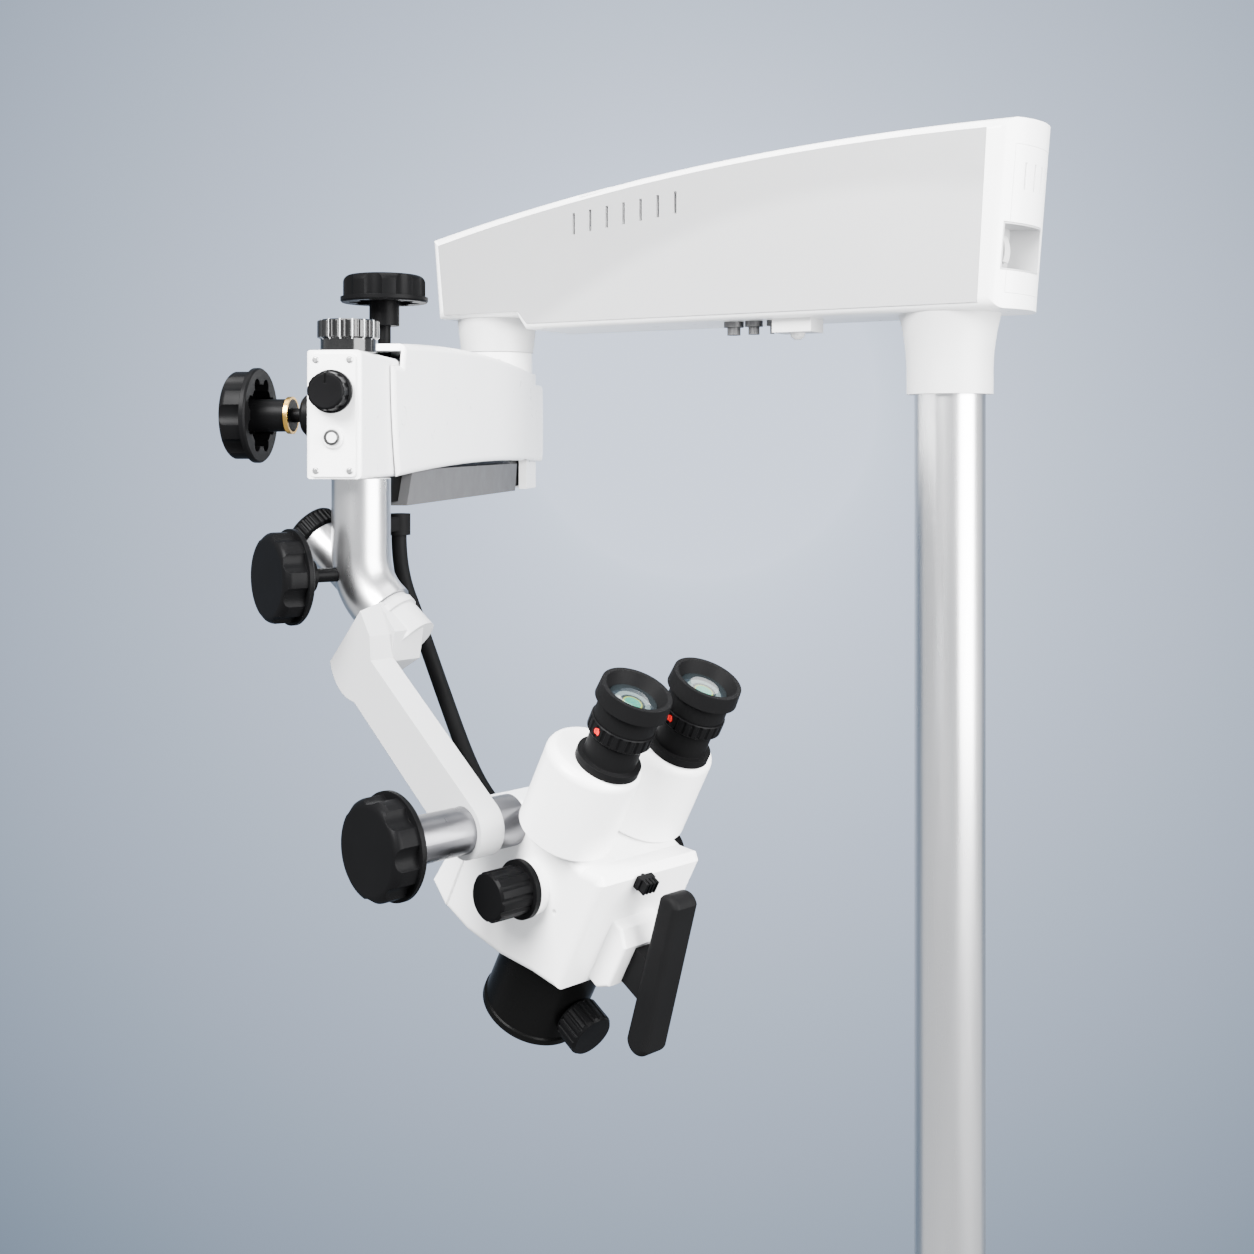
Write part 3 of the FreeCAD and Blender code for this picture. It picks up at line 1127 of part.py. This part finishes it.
def controls():
    """The magnification drum and the lever on the head."""
    axis = HEAD * shift(36, 0, -22) * turn(X_AXIS, 90)
    face = S.head_half + 7.3
    tip = S.head_half + 35
    drum = turned("magnification_knobs", axis, [
        (0, -tip), (13.5, -tip), (15, 1.5 - tip), (15, -face - 4), (18, -face - 4), (18, -face),
        (6, -face), (6, face), (18, face), (18, face + 4), (15, face + 4), (15, tip - 1.5),
        (13.5, tip), (0, tip)])
    for low in (-tip - 1, face + 4):
        groove = pocket(drum, ring(sketch(drum, shift(0, 0, low)), 16.2, 0, 2.2), 25)
        around(drum, groove, 12)
    keep(drum)
    lever = body("filter_lever", HEAD * shift(S.head_front, -8, 16) * turn(Y_AXIS, 90))
    pad(lever, ring(sketch(lever, shift(0, 0, -7)), 0, 0, 3), 8)
    pad(lever, outline(sketch(lever, shift(0, 0, 0.3)), [(-4, -6), (4, -6), (4, 6), (-4, 6)]), 4)
    for offset in (-5, -2.2, 0.6, 3.4):
        rib = sketch(lever, shift(0, 0, 4))
        pad(lever, outline(rib, [(-4, offset), (4, offset), (4, offset + 1.6), (-4, offset + 1.6)]), 5)
    slab = sketch(lever, shift(0, 0, 4))
    pad(lever, outline(slab, [(-3, -5), (3, -5), (3, 5), (-3, 5)]), 3.6)
    keep(lever)


def cord(name, points, radius):
    """A round cord along straight runs with a tangent arc at each point."""
    stops = [V(*p) for p in points]
    edges = []
    at = stops[0]
    for before, corner, after in zip(stops, stops[1:], stops[2:]):
        a = (before - corner).normalize()
        b = (after - corner).normalize()
        half = (math.pi - a.getAngle(b)) / 2
        cut = 0.45 * min((before - corner).Length, (after - corner).Length)
        bow = cut / math.tan(half)
        print(name, "bend radius", round(bow, 1))
        start, end = corner + a * cut, corner + b * cut
        inward = (a + b).normalize()
        centre = corner + inward * (bow / math.cos(half))
        middle = centre - inward * bow
        edges.append(Part.LineSegment(at, start).toShape())
        edges.append(Part.Arc(start, middle, end).toShape())
        at = end
    edges.append(Part.LineSegment(at, stops[-1]).toShape())
    path = Part.Wire(edges)
    profile = Part.Wire([Part.Circle(stops[0], stops[1] - stops[0], float(radius)).toShape()])
    made = doc.addObject("Part::Feature", name)
    made.Label = name
    made.Shape = path.makePipeShell([profile], True, False)
    return keep(made)


CABLE = (
    (-268, -407, 655), (-268, -407, 630), (-258, -397, 592), (-236, -396, 541), (-212, -399, 495),
    tuple((HEAD * shift(-68, 8, -50)).Base), tuple((HEAD * shift(-48, 8, -50)).Base))

column()
beam()
arm_shell(-1)
arm_shell(1)
side_panels()
sleeve_half = sleeve()
other = mirrored("sleeve_other", sleeve_half)
group("sleeve_halves", [sleeve_half, other])
neck()
rear_insert()
underside()
swing_bracket()
pins("rear_pins", 0, S.bracket_half)
upper_link()
lower_link()
cover(1)
cover(-1)
front_block()
dial()
knobs()
drop_tube()
c_arm()
head()
optics()
controls()
cord("lamp_cable", CABLE, S.cable_radius)
doc.recompute()

for item in doc.Objects:
    if "Invalid" in item.State or "Error" in item.State:
        raise RuntimeError(item.Name + " did not build")
for item in NODES:
    if item.Shape.isNull() or not item.Shape.isValid():
        raise RuntimeError(item.Label + " has no sound shape")
print(len(NODES), "sub-parts")

os.makedirs("parts", exist_ok=True)
for item in NODES:
    item.Shape.exportStep("parts/" + item.Label + ".step")
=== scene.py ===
import math

import bpy
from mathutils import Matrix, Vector


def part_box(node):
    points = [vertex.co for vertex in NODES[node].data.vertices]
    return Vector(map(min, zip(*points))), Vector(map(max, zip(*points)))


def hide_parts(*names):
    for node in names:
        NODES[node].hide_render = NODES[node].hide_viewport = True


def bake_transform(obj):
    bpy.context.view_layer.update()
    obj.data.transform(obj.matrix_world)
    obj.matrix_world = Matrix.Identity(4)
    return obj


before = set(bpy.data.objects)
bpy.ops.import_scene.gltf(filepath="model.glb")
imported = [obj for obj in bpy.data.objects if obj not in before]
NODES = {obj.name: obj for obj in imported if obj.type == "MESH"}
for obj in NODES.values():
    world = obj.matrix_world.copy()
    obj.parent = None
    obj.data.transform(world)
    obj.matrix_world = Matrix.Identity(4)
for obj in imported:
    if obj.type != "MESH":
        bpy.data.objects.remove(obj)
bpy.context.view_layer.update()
MM = 0.001

# Directions on the part at rest.
UP = Vector((0, 0, 1))
HEAD_SIDE = Vector((0.2756, 0.9613, 0))
ARM_HEADING = math.radians(-66.8)
ARM_AXIS = Vector((math.cos(ARM_HEADING), math.sin(ARM_HEADING), 0))

# Noise behind every finish: scales in features per metre, and the middle part of its range that is used.
DRIFT_SCALE = 18.0
GLOSS_SCALE = 60.0
GLOSS_SPREAD = 0.15
NOISE_LOW, NOISE_HIGH = 0.3, 0.7
BUMP_STRENGTH = 0.5
BEVEL_SAMPLES = 4
COAT_ROUGHNESS = 0.15

# The swoosh of tone on the side panels: the height of its crest and how fast it falls from there.
SWOOSH_X, SWOOSH_Z, SWOOSH_FALL = -0.055, 0.936, 0.92
SWOOSH_EDGE = 12 * MM

# The painted reflection in a coated lens: where its middle is, and its rings from the outside in.
LENS_GLINT = Vector((0.36, -0.87, -0.33)) * 6.5 * MM
GLINT_EDGE = 0.5 * MM
GLINT_RINGS = (
    (11.6 * MM, (0.07, 0.095, 0.095)),
    (8.2 * MM, (0.005, 0.01, 0.01)),
    (6.6 * MM, (0.11, 0.14, 0.02)),
    (5.8 * MM, (0.012, 0.12, 0.08)),
    (2.5 * MM, (0.008, 0.09, 0.085)),
)

# The red index spot of a dioptre ring and the seal of the key.
DIOPTRE_RADIUS = 20 * MM
SPOT_RADIUS = 2.2 * MM
KEY_FACE = 3.4 * MM

# The clear collar of the clamp ring: its ribs, how much of each carries a painted highlight, and where it
# starts.
COLLAR_RIBS = 15
RIB_HIGHLIGHT_RANGE = (0.93, 0.99)
COLLAR_STEP = 2 * MM
COLLAR_WALL = 18 * MM


def middle_of(name):
    """The centre of a node's box."""
    low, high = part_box(name)
    return (low + high) / 2


# Shader building blocks.
def new_material(name):
    """A node material, its node tree and its main shader."""
    made = bpy.data.materials.new(name)
    made.use_nodes = True
    return made, made.node_tree, made.node_tree.nodes["Principled BSDF"]


def add(tree, kind, **values):
    """Adds a shader node and sets its inputs or properties by name."""
    made = tree.nodes.new(kind)
    for key, value in values.items():
        if hasattr(made, key):
            setattr(made, key, value)
        else:
            made.inputs[key.replace("_", " ")].default_value = value
    return made


def noise(tree, scale, detail=4.0, stretch=(1, 1, 1)):
    """Noise in the part's own coordinates, with scale in features per metre."""
    place = add(tree, "ShaderNodeTexCoord")
    mapping = add(tree, "ShaderNodeMapping", Scale=stretch)
    made = add(tree, "ShaderNodeTexNoise", Scale=scale, Detail=detail)
    tree.links.new(place.outputs["Object"], mapping.inputs["Vector"])
    tree.links.new(mapping.outputs["Vector"], made.inputs["Vector"])
    return made.outputs["Fac"]


def spread(tree, source, low, high):
    """Maps noise onto a range."""
    made = add(tree, "ShaderNodeMapRange", From_Min=NOISE_LOW, From_Max=NOISE_HIGH, To_Min=low, To_Max=high)
    tree.links.new(source, made.inputs["Value"])
    return made.outputs["Result"]


def mix_colours(tree, factor, low, high):
    """Goes from one colour to another with a value; each colour is a triple or a socket."""
    mix = add(tree, "ShaderNodeMix", data_type="RGBA")
    factor_in, low_in, high_in = (mix.inputs[i] for i in (0, 6, 7))
    tree.links.new(factor, factor_in)
    for socket, colour in ((low_in, low), (high_in, high)):
        if isinstance(colour, bpy.types.NodeSocket):
            tree.links.new(colour, socket)
        else:
            socket.default_value = (*colour, 1)
    return mix.outputs[2]


def drift(tree, source, colour, change):
    """A colour that goes a little lighter and darker with a value."""
    darker = [c * (1 - change) for c in colour]
    lighter = [min(1, c * (1 + change)) for c in colour]
    return mix_colours(tree, source, darker, lighter)


def math_step(tree, operation, *values):
    """One arithmetic step on numbers or sockets."""
    made = add(tree, "ShaderNodeMath", operation=operation)
    for socket, value in zip(made.inputs, values):
        if isinstance(value, bpy.types.NodeSocket):
            tree.links.new(value, socket)
        else:
            socket.default_value = value
    return made.outputs[0]


def band(tree, source, low, high):
    """0 below a range, 1 above it and a smooth step between."""
    made = add(tree, "ShaderNodeMapRange", interpolation_type="SMOOTHSTEP", From_Min=low, From_Max=high)
    tree.links.new(source, made.inputs["Value"])
    return made.outputs["Result"]


def offset_from(tree, centre):
    """The vector from a fixed point of the part to the surface."""
    place = add(tree, "ShaderNodeTexCoord")
    away = add(tree, "ShaderNodeVectorMath", operation="SUBTRACT")
    away.inputs[1].default_value = centre
    tree.links.new(place.outputs["Object"], away.inputs[0])
    return away.outputs["Vector"]


def distance_from(tree, centre, axis=None):
    """Distance of the surface from a point, or from a line through it along a unit axis."""
    source = offset_from(tree, centre)
    if axis is not None:
        across = add(tree, "ShaderNodeVectorMath", operation="CROSS_PRODUCT")
        across.inputs[1].default_value = axis
        tree.links.new(source, across.inputs[0])
        source = across.outputs["Vector"]
    size = add(tree, "ShaderNodeVectorMath", operation="LENGTH")
    tree.links.new(source, size.inputs[0])
    return size.outputs["Value"]


def lay_over(material, factor, colour):
    """Paints a colour over a finish where a value is 1."""
    tree = material.node_tree
    target = tree.nodes["Principled BSDF"].inputs["Base Color"]
    under = target.links[0].from_socket
    tree.links.new(mix_colours(tree, factor, under, colour), target)


# Finishes.
def surface(name, colour, rough, metal=0.0, change=0.03, grain=900.0, depth=0.03 * MM, edge=0.6 * MM,
            stretch=(1, 1, 1), coat=0.0, specular=0.5):
    """A finish with fine grain, uneven gloss, slight colour drift and softened edges."""
    made, tree, shader = new_material(name)
    shader.inputs["Metallic"].default_value = metal
    shader.inputs["Specular IOR Level"].default_value = specular
    shader.inputs["Coat Weight"].default_value = coat
    shader.inputs["Coat Roughness"].default_value = COAT_ROUGHNESS
    broad = noise(tree, DRIFT_SCALE)
    fine = noise(tree, grain, 3.0, stretch)
    tree.links.new(drift(tree, broad, colour, change), shader.inputs["Base Color"])
    gloss = spread(tree, noise(tree, GLOSS_SCALE, 6.0, stretch),
                   rough * (1 - GLOSS_SPREAD), rough * (1 + GLOSS_SPREAD))
    tree.links.new(gloss, shader.inputs["Roughness"])
    bevel = add(tree, "ShaderNodeBevel", samples=BEVEL_SAMPLES, Radius=edge)
    bump = add(tree, "ShaderNodeBump", Strength=BUMP_STRENGTH, Distance=depth)
    tree.links.new(fine, bump.inputs["Height"])
    tree.links.new(bevel.outputs["Normal"], bump.inputs["Normal"])
    tree.links.new(bump.outputs["Normal"], shader.inputs["Normal"])
    return made


def panel_surface():
    """Light grey panels with the soft swoosh of tone along the arm."""
    made = surface("panel grey", (0.35, 0.35, 0.354), 0.45)
    tree = made.node_tree
    split = add(tree, "ShaderNodeSeparateXYZ")
    tree.links.new(offset_from(tree, (SWOOSH_X, 0, SWOOSH_Z)), split.inputs["Vector"])
    fall = math_step(tree, "MULTIPLY", split.outputs["X"], split.outputs["X"])
    fall = math_step(tree, "MULTIPLY", fall, SWOOSH_FALL)
    height = math_step(tree, "ADD", split.outputs["Z"], fall)
    lay_over(made, band(tree, height, -SWOOSH_EDGE, SWOOSH_EDGE), (0.28, 0.281, 0.285))
    return made


def glass_surface(name, centre):
    """Coated lens glass: dark, with a painted reflection of a pale inner ring round a green and teal core.
    """
    made = surface(name, (0.01, 0.014, 0.016), 0.06, change=0.2, grain=200.0, depth=0.002 * MM, coat=1.0)
    tree = made.node_tree
    reach = distance_from(tree, centre + LENS_GLINT)
    # The rings of painted reflection, centred on a point offset toward the camera.
    for limit, colour in GLINT_RINGS:
        inside = math_step(tree, "SUBTRACT", 1.0, band(tree, reach, limit - GLINT_EDGE, limit))
        lay_over(made, inside, colour)
    return made


def dioptre_surface(name, ring):
    """The black ring of an eyepiece with its red index spot on the outer side."""
    made = surface(name, (0.004, 0.004, 0.0042), 0.38, change=0.2, grain=2200.0, depth=0.05 * MM,
                   specular=0.03)
    spot = distance_from(made.node_tree, middle_of(ring) - HEAD_SIDE * DIOPTRE_RADIUS)
    inside = math_step(made.node_tree, "LESS_THAN", spot, SPOT_RADIUS)
    lay_over(made, inside, (0.65, 0.01, 0.01))
    return made


def key_surface():
    """The white push button with a black seal round it."""
    made = surface("key white", (0.8, 0.8, 0.8), 0.35)
    reach = distance_from(made.node_tree, middle_of("key_button"), ARM_AXIS)
    lay_over(made, math_step(made.node_tree, "GREATER_THAN", reach, KEY_FACE), (0.012, 0.012, 0.012))
    return made


def collar_surface():
    """Clear ribbed plastic over a black core: dark, with a painted highlight on the edge of each rib."""
    made = surface("clear collar", (0.004, 0.004, 0.004), 0.1, change=0.2, coat=0.4, specular=0.3)
    tree = made.node_tree
    middle = middle_of("block_ring")
    split = add(tree, "ShaderNodeSeparateXYZ")
    tree.links.new(offset_from(tree, middle), split.inputs["Vector"])
    turn = math_step(tree, "ARCTAN2", split.outputs["Y"], split.outputs["X"])
    wave = math_step(tree, "SINE", math_step(tree, "MULTIPLY", turn, COLLAR_RIBS))
    rib_highlight = band(tree, wave, *RIB_HIGHLIGHT_RANGE)
    above = math_step(tree, "GREATER_THAN", split.outputs["Z"], COLLAR_STEP)
    outer = math_step(tree, "GREATER_THAN", distance_from(tree, middle, UP), COLLAR_WALL)
    shown = math_step(tree, "MULTIPLY", math_step(tree, "MULTIPLY", rib_highlight, above), outer)
    # Painted highlights on the rib edges, standing in for light caught by the clear plastic.
    lay_over(made, shown, (0.75, 0.77, 0.78))
    return made


FINISHES = {
    "white": surface("white paint", (0.93, 0.93, 0.93), 0.32, coat=0.25),
    "moulded": surface("moulded white", (0.6, 0.6, 0.6), 0.38, grain=1500.0),
    "grey": surface("light grey paint", (0.42, 0.422, 0.428), 0.36, coat=0.1),
    "tray": surface("mid grey plastic", (0.075, 0.075, 0.077), 0.5, grain=1500.0, specular=0.1),
    "satin": surface("satin column", (0.76, 0.76, 0.77), 0.28, metal=1.0, stretch=(1, 1, 0.06)),
    "tube": surface("satin aluminium", (0.62, 0.62, 0.63), 0.3, metal=1.0, stretch=(1, 1, 0.2)),
    "shaft": surface("turned aluminium", (0.17, 0.17, 0.18), 0.3, metal=1.0, stretch=(1, 1, 0.2)),
    "socket": surface("dark grey plastic", (0.05, 0.05, 0.052), 0.45, grain=1500.0),
    "steel": surface("brushed steel", (0.5, 0.5, 0.5), 0.28, metal=1.0, stretch=(1, 1, 0.1)),
    "brass": surface("brass", (0.6, 0.36, 0.08), 0.25, metal=1.0),
    "black": surface("black plastic", (0.003, 0.003, 0.0032), 0.38, change=0.2, grain=2200.0,
                     depth=0.05 * MM, specular=0.03),
    "enamel": surface("black enamel", (0.003, 0.003, 0.003), 0.3, change=0.15, specular=0.03),
    "rubber": surface("black rubber", (0.0045, 0.0045, 0.0047), 0.55, change=0.2, grain=2500.0,
                      depth=0.06 * MM, specular=0.03),
    "panel": panel_surface(),
    "left glass": glass_surface("left eye lens", middle_of("eye_lens_left")),
    "right glass": glass_surface("right eye lens", middle_of("eye_lens_right")),
    "front glass": glass_surface("objective glass", middle_of("objective_lens")),
    "left index": dioptre_surface("left dioptre", "dioptre_ring_left"),
    "right index": dioptre_surface("right dioptre", "dioptre_ring_right"),
    "key": key_surface(),
    "collar": collar_surface(),
}

# The nodes that wear each finish. Every other node is black plastic.
WEARS = {
    "white": ("front_block", "rear_bracket", "neck_collar", "barrel_left", "barrel_right", "head_shell",
              "head_rear_cover", "handle_bracket", "front_plate", "key_bezel", "rear_panel",
              "cover_left", "cover_right", "arm_shell_left", "arm_shell_right"),
    "moulded": ("sleeve_halves", "neck_cover", "rocker_switch", "sensor_box"),
    "grey": ("c_arm", "inlet_holder"),
    "tray": ("link_tray",),
    "satin": ("column_tube", "arm_beam"),
    "tube": ("drop_tube",),
    "shaft": ("tilt_shaft",),
    "socket": ("underside_sockets",),
    "steel": ("column_bearing", "rear_pins", "front_pins", "balance_spring", "plate_screws"),
    "brass": ("knob_ring",),
    "panel": ("side_panels",),
    "enamel": ("upper_link", "lower_link", "objective_housing"),
    "rubber": ("t_handle", "eyepiece_left", "eyepiece_right", "cable_gland"),
    "left glass": ("eye_lens_left",),
    "right glass": ("eye_lens_right",),
    "front glass": ("objective_lens",),
    "left index": ("dioptre_ring_left",),
    "right index": ("dioptre_ring_right",),
    "key": ("key_button",),
    "collar": ("block_ring",),
}
finish_of = {name: finish for finish, names in WEARS.items() for name in names}
for name, node in NODES.items():
    for slot in node.material_slots:
        slot.material = FINISHES[finish_of.get(name, "black")]


# The lamp cable, in two lengths.
CABLE_RADIUS = 5.5 * MM
CABLE = [Vector(p) * MM for p in (
    (-268, -407, 655), (-268, -407, 630), (-258, -397, 592), (-236, -396, 541), (-212, -399, 495),
    (-190.6, -403.1, 473.2), (-173.8, -407.9, 463.5))]


def line_mesh(name, points, radius):
    """A mesh made from a smooth curve that starts and ends on its first and last point."""
    data = bpy.data.curves.new(name, "CURVE")
    data.dimensions = "3D"
    data.bevel_depth = radius
    data.bevel_resolution = 5
    data.resolution_u = 16
    spline = data.splines.new("NURBS")
    spline.points.add(len(points) - 1)
    for spot, point in zip(spline.points, points):
        spot.co = (*point, 1)
    spline.order_u = 3
    spline.use_endpoint_u = True
    source = bpy.data.objects.new(name + "_line", data)
    bpy.context.collection.objects.link(source)
    shown = source.evaluated_get(bpy.context.evaluated_depsgraph_get())
    mesh = bpy.data.meshes.new_from_object(shown)
    bpy.data.objects.remove(source)
    return mesh


def cable(name, points):
    """One length of cable, curved between two bodies."""
    path = [v.co.copy() for v in line_mesh(name + "_path", points, 0).vertices]
    made = bpy.data.objects.new(name, line_mesh(name, points, CABLE_RADIUS))
    bpy.context.collection.objects.link(made)
    made.data.materials.clear()
    made.data.materials.append(FINISHES["rubber"])
    for face in made.data.polygons:
        face.use_smooth = True
    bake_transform(made)
    return made


meeting = (CABLE[3] + CABLE[4]) / 2
upper = cable("lamp_cable_upper", CABLE[:4] + [meeting])
cable("lamp_cable_lower", [meeting] + CABLE[4:])
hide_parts("lamp_cable")


# The camera's place and direction, and the backdrop that faces it.
VIEW_TURN = math.radians(30)
EYE = Vector((0.4006, -1.2433, 0.72))
SIGHT = Vector((-math.sin(VIEW_TURN), math.cos(VIEW_TURN), 0))
ACROSS = Vector((math.cos(VIEW_TURN), math.sin(VIEW_TURN), 0))
BACKDROP_AT = EYE + SIGHT * 4.2
BACKDROP_SIZE = (16, 12, 1)
# The painted pool of light on the glowing backdrop: its middle, reach, fade, and the colours of its middle
# and corners.
GLOW_AT = BACKDROP_AT + ACROSS * 0.2 + UP * 0.12
GLOW_REACH = (0.5, 3.3)
GLOW_FADE = 0.6
GLOW_COLOUR, CORNER_COLOUR = (1.25, 1.42, 1.75), (0.2, 0.27, 0.37)


def backdrop():
    """A wide sheet behind the object that glows with a painted pool of light: pale blue grey in the middle
    and darker toward its corners.
    """
    bpy.ops.mesh.primitive_plane_add(size=1, location=BACKDROP_AT)
    made = bpy.context.active_object
    made.name = "backdrop"
    made.scale = BACKDROP_SIZE
    made.rotation_euler = (math.pi / 2, 0, VIEW_TURN)
    material, tree, shader = new_material("backdrop")
    shader.inputs["Roughness"].default_value = 1.0
    shader.inputs["Specular IOR Level"].default_value = 0.0
    shader.inputs["Base Color"].default_value = (0, 0, 0, 1)
    place = add(tree, "ShaderNodeNewGeometry")
    away = add(tree, "ShaderNodeVectorMath", operation="DISTANCE")
    away.inputs[1].default_value = GLOW_AT
    tree.links.new(place.outputs["Position"], away.inputs[0])
    reach = add(tree, "ShaderNodeMapRange", From_Min=GLOW_REACH[0], From_Max=GLOW_REACH[1])
    tree.links.new(away.outputs["Value"], reach.inputs["Value"])
    fade = math_step(tree, "POWER", reach.outputs["Result"], GLOW_FADE)
    tree.links.new(mix_colours(tree, fade, GLOW_COLOUR, CORNER_COLOUR), shader.inputs["Emission Color"])
    shader.inputs["Emission Strength"].default_value = 1.0
    made.data.materials.append(material)


def lamp(name, place, target, size, power):
    """A square soft light aimed at a point."""
    data = bpy.data.lights.new(name, "AREA")
    data.size = size
    data.energy = power
    made = bpy.data.objects.new(name, data)
    made.location = place
    made.rotation_euler = (target - place).to_track_quat("-Z", "Y").to_euler()
    bpy.context.collection.objects.link(made)


# Soft lights, each with its offset from the object's middle to the right, away and up.
OBJECT_MIDDLE = Vector((-0.2, -0.3, 0.65))
LAMPS = (
    ("key", (-1.0, -1.6, 1.4), 1.3, 340),
    ("fill", (1.6, -1.2, 0.3), 1.8, 230),
    ("top", (0, 0, 1.8), 1.6, 60),
)

backdrop()
for name, (right, away, up), size, power in LAMPS:
    lamp(name, OBJECT_MIDDLE + ACROSS * right + SIGHT * away + UP * up, OBJECT_MIDDLE, size, power)

world = bpy.data.worlds.new("studio")
world.use_nodes = True
world.node_tree.nodes["Background"].inputs["Color"].default_value = (0.88, 0.9, 0.93, 1)
world.node_tree.nodes["Background"].inputs["Strength"].default_value = 1.0
bpy.context.scene.world = world

lens = bpy.data.cameras.new("camera")
lens.sensor_width = 36
lens.lens = 43.06
lens.shift_y = -0.147
lens.clip_end = 30
camera = bpy.data.objects.new("camera", lens)
camera.location = EYE
camera.rotation_euler = (math.pi / 2, 0, VIEW_TURN)
bpy.context.collection.objects.link(camera)
bpy.context.scene.camera = camera
